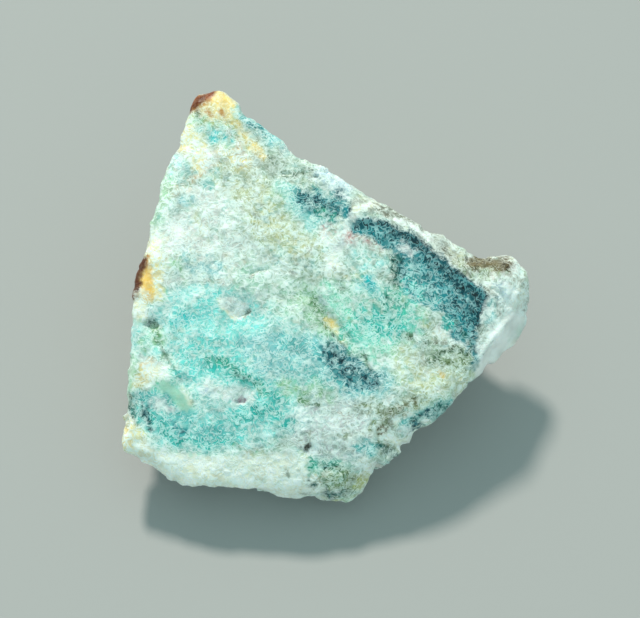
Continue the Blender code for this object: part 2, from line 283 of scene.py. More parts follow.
# Smooth, glassy places: reach and path.
GLASSY = (
    (2.6, ((28.4, -4.0), (26.2, -7.4), (23.6, -10.8))),
    (1.2, ((-23.0, -12.9), (-21.6, -13.7), (-20.3, -15.0), (-19.6, -16.4))),
)

# Hollows in the broad face: reach, depth and path. A negative depth is a bump.
MARK_CORE = 0.15
MARKS = (
    (0.75, 0.55, ((-25.7, -3.8), (-24.6, -4.2))),
    (0.5, 0.22, face_path(LEFT_CREASE)),
    (0.45, 0.2, ((1.3, -5.5), (2.2, -6.4))),
    (0.5, 0.25, ((5.8, -8.7), (6.8, -10.9))),
    (1.0, 0.3, ((-2.3, 0.3), (1.2, -3.4), (4.4, -7.0))),
    (0.35, 0.22, ((-10.6, 3.3), (-9.3, 3.9), (-8.2, 4.0))),
    (0.55, 0.6, face_path(LEFT_NOTCH)),
    (0.5, 0.5, ((-2.6, -22.1), (-2.0, -21.3))),
    (0.6, 0.35, ((-12.2, -2.8), (-11.0, -2.2))),
    (0.35, 0.35, ((-6.0, 17.9), (-5.0, 17.9))),
    (0.35, 0.35, ((-1.3, 17.5), (-0.9, 17.5))),
    (0.5, 0.35, ((-12.4, -15.1), (-11.5, -15.0))),
    (0.8, -0.3, ((29.4, -2.0), (26.8, -3.6), (24.5, -6.2), (22.8, -8.9))),
    (0.7, -0.25, ((27.6, 3.4), (28.6, 0.6), (28.9, -1.6))),
    (0.5, 0.25, ((24.6, 1.2), (26.2, 0.2), (27.0, -1.4))),
)

# Places along the rim that are drawn out or pressed in: middle, reach and how far. A pull is
# full over its core and fades between these depths.
PULL_CORE = 0.2
PULL_FADE = (5.0, 12.0)
PULLS = (
    ((-29.7, -22.6), 3.0, (-0.2, -0.4)),
    ((-30.2, -18.8), 2.6, (1.0, 0.1)),
    ((29.0, 4.4), 5.0, (0.9, 0.4)),
    ((3.0, -29.8), 4.5, (0.1, -0.9)),
    ((25.9, -9.4), 3.5, (-0.8, 0.6)),
    ((20.5, -14.3), 2.5, (-0.5, 0.5)),
    ((14.2, -20.2), 2.6, (-0.45, 0.45)),
    ((-25.8, 11.0), 6.0, (0.6, -0.1)),
    ((-27.0, 1.2), 2.2, (-0.75, 0.0)),
    ((-27.6, -1.2), 3.0, (-0.5, 0.0)),
    ((-28.6, -15.2), 3.0, (-0.5, 0.0)),
)

# Stains on the broad face, with a few strokes of painted light and shade among them, in the order
# they are laid: colour, reach, strength, how unevenly the grains take it, and path. Reach and path
# are in pixels of the frame.
STAINS_AND_PAINTED_LIGHT = (
    # Broad fields, which the rest lies over
    ("frost", 22, 0.6, 0.8, ((180, 205), (240, 205), (250, 250), (225, 290), (165, 285), (165, 230),
        (180, 205))),
    ("pale_green", 20, 0.6, 0.9, ((240, 170), (300, 178), (325, 190), (290, 222), (305, 262),
        (335, 292), (295, 305), (258, 262), (240, 170))),
    ("straw_pale", 16, 0.3, 0.9, ((262, 222), (300, 240), (318, 244))),
    ("mint_mist", 20, 0.6, 0.9, ((255, 262), (305, 300), (330, 345), (290, 335), (245, 300),
        (255, 262))),
    ("aqua_mist", 16, 0.8, 0.8, ((170, 300), (215, 292), (260, 318), (305, 338), (328, 362),
        (306, 398), (286, 424), (230, 442), (180, 444), (148, 424), (158, 400), (200, 385), (186, 350),
        (152, 345), (170, 300))),
    ("mint", 16, 0.65, 0.9, ((338, 292), (375, 285), (398, 300), (412, 318), (398, 346), (366, 352),
        (342, 334), (338, 292))),
    ("lilac", 14, 0.7, 0.8, ((306, 392), (350, 384), (378, 418), (352, 452), (318, 450), (296, 432),
        (306, 392))),
    ("cream_green", 12, 0.9, 0.4, ((150, 458), (300, 462), (312, 490), (230, 494), (172, 480),
        (150, 458))),
    ("cream", 12, 0.7, 0.8, ((404, 350), (436, 374), (476, 364), (456, 396), (418, 402), (396, 372),
        (404, 350))),
    ("grey_green", 12, 0.4, 0.9, ((345, 258), (380, 262), (385, 282), (345, 285), (345, 258))),
    ("blue_mist", 14, 0.45, 0.9, ((192, 258), (214, 272))),
    ("fern_pale", 9, 0.4, 0.9, ((176, 262), (182, 280))),
    # Top corner
    ("cream_yellow", 9, 0.9, 0.6, ((190, 106), (197, 98), (215, 94), (230, 102), (236, 116),
        (226, 122), (205, 114), (190, 106))),
    ("straw", 8, 0.85, 0.4, ((217, 96), (228, 101), (236, 113))),
    ("straw", 5, 0.8, 0.5, ((235, 118), (240, 130), (248, 142), (262, 154))),
    ("straw_pale", 9, 0.6, 0.7, ((234, 120), (246, 138), (257, 150), (266, 158))),
    ("cream_warm", 8, 0.8, 0.5, ((189, 112), (186, 132), (182, 146), (190, 156))),
    ("amber", 3, 0.6, 0.8, ((211, 92), (213, 99))),
    ("ochre", 3.4, 0.7, 0.7, ((208, 111), (211, 115))),
    ("ochre", 2.8, 0.7, 0.7, ((220, 111), (223, 114))),
    ("straw_pale", 6, 0.7, 0.8, ((190, 134), (202, 137))),
    ("rust", 3.5, 0.95, 0.4, ((211, 91), (209, 97))),
    ("rust", 7, 0.98, 0.1, ((187, 108), (197, 98), (209, 90))),
    ("rust_dark", 4, 0.85, 0.5, ((189, 108), (204, 96))),
    ("ochre", 4, 0.6, 0.7, ((196, 108), (208, 100))),
    ("fern_dark", 3.6, 0.8, 0.5, ((197, 112), (199, 117))),
    ("fern_pale", 6, 0.6, 0.8, ((192, 118), (206, 120))),
    ("aqua", 8, 0.65, 0.8, ((212, 136), (219, 134), (227, 143))),
    ("aqua_bright", 6, 0.5, 1.0, ((216, 136), (226, 144))),
    ("aqua_mist", 9, 0.4, 0.8, ((200, 124), (218, 126), (230, 134))),
    ("blue_mist", 10, 0.8, 0.8, ((242, 110), (256, 122), (272, 136))),
    ("teal_pale", 8, 0.7, 0.9, ((246, 117), (258, 127), (268, 135))),
    ("teal", 5, 0.5, 1.1, ((246, 118), (257, 127), (267, 134))),
    ("teal_pale", 6, 0.7, 0.9, ((206, 182), (211, 187))),
    ("blue_mist", 8, 0.6, 0.9, ((176, 203), (190, 200))),
    ("aqua_mist", 9, 0.6, 0.9, ((172, 176), (182, 164))),
    ("peach", 12, 0.3, 0.9, ((180, 188), (196, 174), (210, 160))),
    ("lilac", 10, 0.6, 0.9, ((230, 158), (254, 164))),
    ("lilac", 8, 0.6, 0.9, ((206, 162), (224, 154))),
    ("peach", 6, 0.4, 0.9, ((236, 152), (246, 160))),
    ("grey_green", 14, 0.55, 0.9, ((262, 160), (292, 182))),
    ("moss", 2.6, 0.6, 0.8, ((269, 156), (272, 158))),
    # Upper right
    ("moss", 4, 0.35, 0.8, ((282, 178), (290, 174), (298, 174))),
    ("moss", 5, 0.6, 1.0, ((306, 172), (318, 178))),
    ("moss_pale", 9, 0.5, 0.9, ((275, 196), (300, 186), (318, 182))),
    ("ice", 12, 0.75, 0.6, ((322, 178), (342, 190))),
    ("aqua_mist", 14, 0.8, 0.9, ((286, 192), (296, 204), (312, 222))),
    ("teal_pale", 16, 0.75, 0.9, ((300, 200), (330, 208), (350, 212))),
    ("teal", 12, 0.8, 1.0, ((302, 196), (318, 206), (344, 214))),
    ("teal_dark", 8, 0.5, 0.8, ((308, 196), (320, 206), (332, 214))),
    ("teal_dark", 6, 0.5, 0.8, ((338, 194), (348, 202), (352, 212))),
    ("teal_night", 2.6, 0.5, 1.1, ((314, 200), (326, 212))),
    ("sea_green", 6, 0.5, 1.0, ((318, 210), (330, 218))),
    ("pink", 8, 0.45, 0.9, ((324, 230), (332, 236))),
    ("pink", 9, 0.6, 0.8, ((350, 236), (366, 241), (384, 243))),
    ("frost", 5, 0.8, 0.5, ((328, 258), (334, 246), (342, 236), (347, 226), (355, 216))),
    ("ice", 6, 0.6, 0.7, ((334, 250), (342, 244))),
    ("cream_green", 9, 0.8, 0.3, ((331, 259), (333, 268))),
    ("umber_grey", 1.8, 0.7, 0.4, ((333, 268), (334, 271))),
    # Left edge
    ("celadon", 10, 0.7, 0.6, ((166, 182), (158, 210), (152, 232))),
    ("cream_green", 9, 0.7, 0.5, ((150, 230), (164, 240))),
    ("cream_warm", 12, 0.95, 0.3, ((154, 248), (156, 268))),
    ("cream_warm", 8, 0.9, 0.4, ((158, 272), (160, 296))),
    ("straw_pale", 5, 0.7, 0.5, ((148, 258), (150, 272))),
    ("ochre", 4, 0.7, 0.6, ((149, 258), (145, 272), (142, 284))),
    ("straw", 8, 0.85, 0.3, ((149, 282), (150, 295))),
    ("amber", 7.5, 0.95, 0.3, ((149, 275), (147, 286), (147, 295))),
    ("rust_dark", 6.5, 0.97, 0.2, ((143, 262), (140, 273), (137, 288), (133, 300))),
    ("rust_dark", 3.4, 0.95, 0.2, ((133, 298), (130.5, 310), (130.5, 318))),
    ("cream_white", 8, 0.95, 0.3, ((141, 298), (143, 314), (138, 322))),
    ("fern_night", 6.5, 0.8, 0.6, ((151, 321), (156, 328))),
    ("fern_night", 3, 0.9, 0.5, ((150, 323), (153, 329), (158, 326))),
    ("fern_pale", 9, 0.6, 0.8, ((154, 332), (160, 340))),
    ("fern", 4, 0.5, 0.9, ((155, 333), (159, 338))),
    ("aqua_mist", 8, 0.8, 0.7, ((138, 326), (136, 345), (134, 356))),
    ("fern_pale", 6, 0.55, 0.8, ((144, 344), (146, 348))),
    ("celadon", 9, 0.85, 0.6, ((131, 358), (129, 384), (130, 400))),
    ("cream_yellow", 9, 0.9, 0.5, ((141, 380), (146, 368))),
    ("peach", 6, 0.7, 0.6, ((146, 364), (152, 360))),
    ("cream_white", 12, 0.9, 0.5, ((152, 370), (162, 376))),
    ("mint", 12, 0.8, 0.4, ((162, 388), (174, 388), (186, 402))),
    ("celadon", 7, 0.6, 0.5, ((168, 386), (182, 392), (190, 406))),
    ("cream_white", 4, 0.7, 0.4, ((184, 384), (192, 400))),
    ("fern", 7, 0.6, 0.7, ((169, 356), (175, 366))),
    ("moss", 2, 0.5, 0.8, ((162, 346), (172, 363), (183, 381))),
    ("fern_dark", 7, 0.8, 0.6, ((131, 398), (134, 410), (137, 420))),
    ("fern_night", 3.5, 0.95, 0.4, ((129, 406), (133, 412), (136, 420))),
    ("amber", 4, 0.75, 0.4, ((118, 448), (121, 432), (126, 418))),
    ("cream_warm", 10, 0.95, 0.3, ((124, 444), (130, 428), (138, 434))),
    ("straw", 6, 0.5, 0.6, ((122, 440), (127, 426))),
    ("cream_white", 12, 0.85, 0.5, ((134, 446), (150, 454))),
    # Aqua fields
    ("aqua", 12, 0.85, 0.9, ((180, 318), (200, 314), (218, 300))),
    ("aqua_bright", 7, 0.7, 0.8, ((181, 320), (196, 318), (208, 311))),
    ("aqua_light", 20, 0.8, 0.7, ((205, 324), (250, 324), (240, 345))),
    ("aqua", 14, 0.4, 0.9, ((205, 344), (232, 348))),
    ("aqua", 16, 0.8, 0.8, ((205, 368), (232, 370), (255, 386), (284, 398))),
    ("aqua_deep", 9, 0.7, 0.8, ((212, 366), (234, 371), (250, 384))),
    ("aqua_deep", 7, 0.7, 0.9, ((236, 374), (256, 386), (276, 396))),
    ("sea_green", 5, 0.8, 0.7, ((210, 359), (228, 362), (238, 373), (252, 381), (266, 391))),
    ("sea_dark", 2.4, 0.5, 1.0, ((230, 365), (240, 375), (254, 383))),
    ("aqua", 20, 0.6, 0.9, ((195, 352), (186, 368))),
    ("fern", 3, 0.6, 0.8, ((259, 390), (267, 397))),
    ("aqua", 20, 0.8, 0.8, ((150, 405), (168, 422), (196, 434), (222, 428), (256, 410))),
    ("aqua_deep", 11, 0.8, 0.9, ((156, 420), (176, 436), (205, 440), (222, 436))),
    ("teal_pale", 10, 0.7, 0.9, ((180, 428), (206, 434), (222, 428))),
    ("aqua_deep", 9, 0.6, 0.9, ((236, 418), (262, 410), (288, 422))),
    ("teal_pale", 11, 0.8, 0.9, ((142, 396), (162, 400), (182, 414))),
    ("teal", 4, 0.45, 1.1, ((160, 416), (176, 424), (190, 434))),
    ("lilac", 8, 0.7, 0.8, ((159, 402), (168, 408))),
    ("teal_night", 3.4, 0.7, 1.0, ((145, 404), (143, 414), (152, 428))),
    ("teal_dark", 3, 0.6, 1.0, ((150, 406), (147, 418))),
    ("blue_mist", 16, 0.8, 0.9, ((252, 346), (285, 344), (320, 348))),
    ("teal_pale", 11, 0.65, 1.0, ((288, 340), (322, 350))),
    ("blue_mist", 12, 0.7, 0.9, ((262, 362), (300, 372), (322, 366))),
    ("aqua", 14, 0.5, 0.9, ((290, 378), (318, 376))),
    ("frost", 10, 0.7, 0.8, ((206, 386), (220, 392))),
    ("ice", 5, 0.7, 0.8, ((203, 390), (213, 394))),
    ("frost", 9, 0.8, 0.7, ((232, 393), (250, 397))),
    ("mauve", 4, 0.6, 0.6, ((238, 400), (245, 398))),
    ("fern_pale", 12, 0.6, 0.9, ((286, 384), (304, 396))),
    ("fern_pale", 10, 0.5, 0.9, ((316, 386), (332, 392))),
    ("fern", 4, 0.4, 0.9, ((298, 400), (320, 402))),
    # Blue-grey granular patch
    ("blue_mist", 20, 0.8, 0.8, ((322, 350), (344, 376), (378, 382))),
    ("teal_pale", 12, 0.8, 0.9, ((324, 352), (340, 376), (366, 382))),
    ("slate", 7, 0.85, 0.9, ((326, 347), (343, 350), (357, 365), (378, 376), (372, 384), (352, 383),
        (335, 367), (325, 355), (326, 347))),
    ("slate_dark", 9, 0.4, 0.8, ((328, 350), (344, 362), (358, 374), (374, 380))),
    ("slate_dark", 6, 0.45, 0.9, ((330, 352), (342, 362), (350, 376))),
    ("slate_dark", 5.5, 0.35, 0.9, ((354, 380), (366, 381), (376, 378))),
    ("teal_night", 2.6, 0.6, 1.2, ((336, 352), (342, 360))),
    # Green crease with amber in it
    ("fern_pale", 13, 0.75, 0.7, ((304, 294), (318, 314), (332, 330))),
    ("fern", 7, 0.65, 0.7, ((312, 302), (322, 316), (330, 326))),
    ("straw", 6, 0.8, 0.5, ((330, 320), (337, 329), (344, 341))),
    ("fern_dark", 2.2, 0.5, 0.7, ((332, 335), (337, 341))),
    ("fern", 6, 0.6, 0.8, ((346, 338), (352, 350))),
    ("fern", 5, 0.6, 0.8, ((360, 352), (366, 360))),
    ("fern_dark", 2.6, 0.55, 0.8, ((364, 357), (370, 367))),
    # Middle right
    ("sea_green", 13, 0.75, 0.9, ((380, 292), (396, 304), (388, 318))),
    ("fern", 6, 0.6, 0.8, ((392, 264), (396, 284))),
    ("sea_dark", 4, 0.5, 1.1, ((379, 306), (388, 300))),
    ("mint_deep", 18, 0.8, 0.9, ((352, 334), (382, 326), (402, 322))),
    ("sea_green", 8, 0.5, 1.0, ((376, 298), (388, 316), (378, 328))),
    ("aqua_deep", 14, 0.5, 1.0, ((366, 316), (396, 328))),
    ("aqua_mist", 10, 0.5, 0.8, ((360, 284), (376, 290))),
    ("aqua_mist", 12, 0.6, 0.9, ((352, 258), (378, 266))),
    ("frost", 8, 0.6, 0.8, ((326, 238), (345, 252))),
    # Dark band
    ("teal", 8, 0.97, 0.8, ((356, 226), (372, 227), (392, 232), (410, 240), (425, 247), (436, 254),
        (446, 266), (460, 279), (474, 290), (481, 297), (480, 306), (474, 314), (462, 318), (450, 312),
        (440, 306), (428, 301), (414, 294), (405, 280), (401, 268), (400, 258), (396, 248), (380, 238),
        (362, 229), (356, 226))),
    ("teal", 7, 0.95, 0.8, ((450, 316), (478, 314), (478, 330), (479, 345), (477, 360), (474, 368),
        (471, 362), (466, 346), (458, 336), (450, 326), (450, 316))),
    ("teal_pale", 11, 0.5, 0.9, ((410, 272), (418, 290), (434, 301))),
    ("aqua_deep", 9, 0.5, 1.0, ((404, 282), (416, 298))),
    ("teal_dark", 5.5, 0.97, 0.4, ((358, 224), (376, 223), (392, 228), (414, 239), (430, 246),
        (441, 255), (452, 267), (467, 282), (482, 294), (484, 306), (478, 316))),
    ("teal_dark", 11, 0.85, 0.9, ((396, 234), (418, 244), (436, 258), (452, 274), (466, 288),
        (478, 300))),
    ("teal_dark", 7, 0.75, 0.9, ((456, 302), (470, 310), (476, 326), (476, 350))),
    ("teal_night", 4.5, 0.8, 0.7, ((392, 232), (414, 242), (432, 250))),
    ("teal_night", 5, 0.65, 1.0, ((444, 266), (460, 284), (478, 298), (474, 310))),
    ("sea_dark", 6, 0.75, 0.9, ((394, 258), (395, 280))),
    ("sea_dark", 5, 0.6, 0.9, ((452, 320), (462, 334), (468, 346))),
    ("aqua_deep", 6, 0.6, 1.0, ((444, 318), (448, 328))),
    ("lilac", 6, 0.6, 0.9, ((399, 248), (410, 254))),
    ("ice_white", 2.4, 0.8, 0.5, ((444, 250), (452, 264))),
    ("frost", 5, 0.6, 0.8, ((452, 342), (462, 346))),
    # Bevelled band along the upper right edge
    ("cream_grey", 9.5, 0.9, 0.5, ((357, 204), (388, 212), (420, 226), (441, 243))),
    ("cream_grey", 10, 0.9, 0.4, ((444, 246), (465, 262), (486, 280))),
    ("cream_white", 5, 0.95, 0.2, ((357, 210), (368, 205), (376, 203))),
    ("umber_grey", 7, 0.7, 0.9, ((374, 209), (388, 210), (406, 218))),
    ("umber_grey", 6, 0.55, 0.9, ((408, 218), (424, 230))),
    ("ice_white", 3.4, 0.7, 0.5, ((396, 219), (414, 227), (432, 239))),
    ("straw_pale", 6, 0.5, 0.8, ((452, 252), (462, 262))),
    ("umber_grey", 5, 0.5, 1.1, ((446, 250), (460, 262), (474, 276))),
    ("moss_pale", 6, 0.5, 1.0, ((462, 262), (478, 278))),
    # Right corner
    ("ice_white", 6, 0.95, 0.3, ((492, 274), (514, 266), (526, 284), (527, 312), (512, 336),
        (482, 370), (483, 340), (488, 314), (491, 300), (492, 274))),
    ("grey_green", 12, 0.6, 0.9, ((496, 290), (500, 318), (484, 338))),
    ("blue_mist", 7, 0.4, 1.0, ((494, 300), (492, 324))),
    ("umber_grey", 3, 0.35, 1.2, ((497, 296), (500, 318), (490, 330))),
    ("ice", 8, 0.6, 0.9, ((500, 282), (504, 300))),
    # Painted light: the smooth facet, turned from the key light, painted near-white as if lit through
    # its thin edge
    ("frost", 10, 0.95, 0.2, ((526, 318), (508, 334), (492, 356), (482, 372))),
    # Painted shade: a thin darker line along the ridge above the smooth facet
    ("umber_grey", 1.6, 0.35, 0.9, ((527, 311), (508, 322), (492, 340), (482, 354))),
    ("cream_grey", 10, 0.7, 0.8, ((522, 282), (522, 304), (508, 308))),
    ("straw_pale", 5, 0.6, 0.9, ((524, 290), (518, 306))),
    ("cream_grey", 8, 0.6, 0.7, ((505, 272), (522, 278))),
    ("olive_brown", 11, 0.95, 0.4, ((475, 261), (490, 266), (507, 267))),
    ("umber", 7, 0.7, 0.8, ((478, 258), (500, 262))),
    ("straw_pale", 3, 0.6, 1.0, ((482, 268), (500, 271))),
    ("moss_pale", 7, 0.5, 1.0, ((476, 274), (504, 276))),
    ("umber_grey", 4, 0.6, 1.0, ((486, 291), (493, 294))),
    # Lower right
    ("straw_pale", 12, 0.35, 0.8, ((412, 380), (452, 378))),
    ("amber", 2.6, 0.3, 0.9, ((438, 371), (442, 375))),
    ("moss_pale", 10, 0.4, 0.9, ((410, 340), (430, 348))),
    ("grey_green", 16, 0.6, 0.9, ((430, 352), (462, 362))),
    ("moss_pale", 12, 0.7, 1.0, ((436, 352), (460, 360))),
    ("moss", 5, 0.55, 1.2, ((430, 360), (446, 352), (464, 352))),
    ("olive", 7, 0.5, 1.1, ((448, 364), (462, 366))),
    ("moss", 4, 0.5, 1.2, ((404, 336), (426, 340))),
    ("umber_grey", 4, 0.4, 1.2, ((436, 344), (452, 346))),
    ("olive", 10, 0.45, 1.0, ((362, 406), (384, 410))),
    ("olive", 9, 0.5, 1.0, ((392, 408), (416, 398))),
    ("umber", 5, 0.3, 1.2, ((400, 406), (414, 400))),
    ("umber_grey", 9, 0.45, 1.1, ((386, 414), (396, 424))),
    ("olive", 12, 0.25, 1.0, ((368, 404), (384, 420), (396, 430))),
    ("olive", 9, 0.5, 1.0, ((372, 426), (388, 440))),
    ("umber", 6, 0.5, 1.2, ((380, 430), (388, 438))),
    ("sea_dark", 4.5, 0.7, 1.1, ((376, 446), (390, 450))),
    ("teal_pale", 8, 0.75, 0.9, ((360, 444), (372, 448))),
    ("teal_pale", 9, 0.8, 0.9, ((402, 426), (424, 414), (446, 404))),
    ("sea_dark", 6, 0.5, 1.0, ((408, 427), (426, 414), (442, 406))),
    ("teal_dark", 4, 0.7, 1.2, ((412, 428), (427, 412))),
    ("frost", 5, 0.8, 0.5, ((402, 428), (405, 430))),
    ("cream_green", 6, 0.7, 0.7, ((388, 436), (400, 440))),
    # Small dark marks, with painted shade in a chip's hollow and along a crescent ledge
    ("olive_dark", 2.6, 0.9, 0.4, ((307, 447), (309, 444))),
    # Painted shadow: grey shade in the chip's hollow, on the side away from the light
    ("umber_grey", 3, 0.8, 0.4, ((244, 316), (250, 312))),
    ("cream_white", 3.4, 0.95, 0.4, ((221, 300), (226, 309), (236, 317), (243, 313))),
    ("frost", 8, 0.8, 0.5, ((231, 304), (240, 309))),
    ("frost", 3, 0.8, 0.5, ((224, 299), (236, 300), (246, 305))),
    # Painted shade: a dark line along the upper side of the crescent ledge
    ("umber_grey", 1.8, 0.55, 0.6, ((251, 277), (259, 271), (268, 270))),
    ("moss", 2.2, 0.3, 1.0, ((286, 468), (289, 476))),
    ("moss", 2.6, 0.35, 1.0, ((302, 492), (307, 493))),
    ("umber_grey", 2, 0.6, 0.8, ((292, 272), (294, 273))),
    ("fern", 3.5, 0.4, 1.0, ((234, 445), (242, 448))),
    ("olive", 5, 0.35, 1.0, ((342, 434), (350, 436))),
    ("moss", 3, 0.35, 1.0, ((312, 401), (318, 404))),
    ("grey_green", 8, 0.4, 0.9, ((285, 440), (296, 440))),
    # Front corner
    ("sea_green", 10, 0.75, 0.9, ((312, 464), (334, 466))),
    ("sea_dark", 5, 0.6, 1.1, ((322, 465), (338, 470))),
    ("olive", 13, 0.75, 0.9, ((334, 480), (352, 484))),
    ("fern", 8, 0.5, 0.9, ((322, 480), (340, 476))),
    ("sea_dark", 5, 0.45, 1.1, ((310, 480), (324, 487))),
    ("olive", 6, 0.45, 1.2, ((336, 480), (352, 478))),
    ("sea_dark", 6, 0.75, 1.0, ((328, 494), (342, 497), (352, 494))),
    ("frost", 2.4, 0.9, 0.4, ((335, 490), (338, 491))),
    ("gold_green", 6.5, 0.6, 0.8, ((358, 484), (366, 476))),
    ("gold_green", 5, 0.6, 0.8, ((338, 504), (352, 500))),
    ("cream_green", 7, 0.6, 0.7, ((366, 462), (374, 468))),
    # Late tints, with painted light on the lower rim and on the right corner's facet
    ("straw_pale", 24, 0.35, 0.7, ((232, 172), (262, 204), (282, 240))),
    ("frost", 13, 0.4, 0.8, ((246, 250), (268, 262), (290, 276))),
    # Painted light: lightens the lower rim, which faces down and gets less light
    ("cream_white", 9, 0.35, 0.7, ((184, 470), (222, 476), (256, 476))),
    ("straw", 6, 0.4, 0.7, ((236, 122), (250, 140), (262, 156))),
    ("grey_green", 7, 0.45, 0.9, ((246, 127), (262, 141))),
    ("cream_warm", 9, 0.55, 0.6, ((189, 133), (202, 148), (198, 164))),
    ("cream_warm", 8, 0.45, 0.7, ((222, 150), (246, 164))),
    ("olive_brown", 7, 0.72, 0.6, ((478, 261), (494, 259), (508, 262))),
    ("cream_warm", 8, 0.7, 0.3, ((127, 428), (126, 446))),
    # Painted light: lightens the smooth facet at the right corner, which the lamps leave dim
    ("ice_white", 12, 0.6, 0.3, ((518, 298), (508, 318), (496, 336))),
    # Cyan speck
    ("aqua_bright", 7.5, 1.0, 0.1, ((367, 279), (370, 282))),
)


def axes_of(points):
    """World points in millimetres, as U, V, W."""
    away = points - np.array(FACE_MIDDLE)
    return np.stack([away @ RIGHTWARDS, away @ UPWARDS, away @ OUTWARDS], axis=1)


def face_depth(face_points):
    """How far points lie below the broad face, measured along W."""
    u, v, w = face_points.T
    return FACE_LEVEL - FACE_FALL_RIGHT * u - FACE_FALL_UP * v - w


def smooth(value, low, high):
    """0 below low, 1 above high, and an even step between them."""
    step = np.clip((value - low) / (high - low), 0.0, 1.0)
    return step * step * (3.0 - 2.0 * step)


# ---------------------------------------------------------------- repeatable chance

def chance(cells, seed):
    """A repeatable number from 0 to 1 for each whole-numbered cell of space, whose digits
    large primes mix."""
    mixed = (cells[:, 0] * 73856093) ^ (cells[:, 1] * 19349663) ^ (cells[:, 2] * 83492791)
    mixed = (mixed + seed * 40503) & 0xFFFFFFFF
    for turn in range(2):
        mixed = ((mixed ^ (mixed >> 16)) * 73244475) & 0xFFFFFFFF
    return ((mixed ^ (mixed >> 16)) & 0xFFFF) / 65535.0


def chance_vector(cells, seed):
    """Three repeatable numbers from -1 to 1 for each cell."""
    return np.stack([chance(cells, seed + part) for part in range(3)], axis=1) * 2.0 - 1.0


def corner_steps(low, high):
    """The steps from a cell to its neighbours, from low up to but not including high."""
    return [np.array((x, y, z)) for x in range(low, high) for y in range(low, high)
            for z in range(low, high)]


def cloud(points, size, seed):
    """Soft noise from 0 to 1, whose blots are about this size."""
    place = points / size
    cells = np.floor(place).astype(np.int64)
    part = place - cells
    part = part * part * (3.0 - 2.0 * part)
    total = np.zeros(len(points))
    for step in corner_steps(0, 2):
        share = np.prod(np.where(step == 1, part, 1.0 - part), axis=1)
        total += share * chance(cells + step, seed)
    return total


def clouds(points, size, seed):
    """Noise from 0 to 1 with finer noise on it."""
    total = sum(share * cloud(points, size * scale, seed + step) for scale, share, step in LAYERS)
    return total / sum(share for scale, share, step in LAYERS)


def grains(points, size, tilt, flat, drop, seed):
    """Packed angular grains: the height of the topmost one at each point. Each grain has a
    flat, tilted top and drops off all round."""
    place = points / size
    cells = np.floor(place).astype(np.int64)
    best = np.full(len(points), -1e9)
    for step in corner_steps(-1, 2):
        cell = cells + step
        centre = cell + 0.5 + GRAIN_WANDER * chance_vector(cell, seed)
        away = place - centre
        lean = chance_vector(cell, seed + 10) * tilt
        spread = np.zeros(len(points))
        for axis in range(3):
            side = chance_vector(cell, seed + 20 + 3 * axis)
            side /= np.linalg.norm(side, axis=1)[:, None] + 1e-6
            spread = np.maximum(spread, np.abs((side * away).sum(1)))
        height = (GRAIN_RISE * chance(cell, seed + 40) + (lean * away).sum(1)
                  - drop * np.maximum(spread - flat, 0.0))
        best = np.maximum(best, height)
    return best * size


# ---------------------------------------------------------------- strokes

def enclosed(spots, outline):
    """Whether each spot lies inside a closed outline."""
    inside = np.zeros(len(spots), bool)
    u, v = spots.T
    for (start_u, start_v), (end_u, end_v) in zip(outline, outline[1:]):
        if start_v != end_v:
            crossing = start_u + (v - start_v) * (end_u - start_u) / (end_v - start_v)
            inside ^= ((start_v > v) != (end_v > v)) & (u < crossing)
    return inside


def to_path(spots, path):
    """Distance from each U, V spot to a path of straight stretches. A path that comes back
    to its start is an area, and the distance is 0 inside it."""
    nearest = np.full(len(spots), 1e9)
    ends = path[1:] if len(path) > 1 else path
    if len(path) > 3 and path[0] == path[-1]:
        nearest[enclosed(spots, path)] = 0.0
    for start, end in zip(path, ends):
        start = np.array(start)
        run = np.array(end) - start
        along = np.clip(((spots - start) @ run) / max(run @ run, 1e-9), 0.0, 1.0)
        nearest = np.minimum(nearest, np.linalg.norm(spots - start - along[:, None] * run, axis=1))
    return nearest


def albedo(name):
    """The surface colour that shows as the palette's colour in the studio's light."""
    value = np.array(PALETTE[name]) / 255.0
    shown = np.where(value <= 0.04045, value / 12.92, ((value + 0.055) / 1.055) ** 2.4)
    return np.minimum(shown / STUDIO_LIGHT, BRIGHTEST)


def paint(ground, strokes, spots, sway, ripple, draw):
    """Strokes laid over the ground colours in order. A rough stroke takes some grains and
    leaves others, by each grain's draw."""
    for name, reach, strength, rough, path in strokes:
        wander = sway * min(1.0, reach / SWAY_FULL) + ripple * min(1.0, reach / RIPPLE_FULL)
        away = to_path(spots + wander, path)
        amount = strength * (1.0 - smooth(away, STROKE_CORE * reach, STROKE_END * reach))
        uneven = ROUGHNESS_GAIN * rough * amount * (1.0 - amount) * (0.5 - draw)
        cover = np.clip(amount + uneven, 0.0, 1.0)
        ground = ground * (1.0 - cover[:, None]) + albedo(name) * cover[:, None]
    return ground


def strokes_on_face():
    """The stains and the painted light and shade, with their reach and path in millimetres."""
    return [(colour, millimetres(reach), strength, rough, face_path(path))
            for colour, reach, strength, rough, path in STAINS_AND_PAINTED_LIGHT]


# ---------------------------------------------------------------- modelling

def pick(piece):
    """Selects the piece alone and makes it the active one."""
    bpy.ops.object.select_all(action="DESELECT")
    piece.select_set(True)
    bpy.context.view_layer.objects.active = piece


def apply_modifier(piece, kind, **settings):
    """Adds a modifier, sets it and applies it."""
    pick(piece)
    bpy.ops.object.modifier_add(type=kind)
    modifier = piece.modifiers[-1]
    for name, value in settings.items():
        setattr(modifier, name, value)
    bpy.ops.object.modifier_apply(modifier=modifier.name)


def vectors_of(items, field):
    """One vector field of a mesh's items, a row for each."""
    values = np.empty(len(items) * 3, np.float32)
    items.foreach_get(field, values)
    return values.reshape(-1, 3).astype(float)


def vertices_of(piece):
    """The piece's vertices in millimetres, and their normals."""
    mesh = piece.data
    return vectors_of(mesh.vertices, "co") / MM, vectors_of(mesh.vertex_normals, "vector")


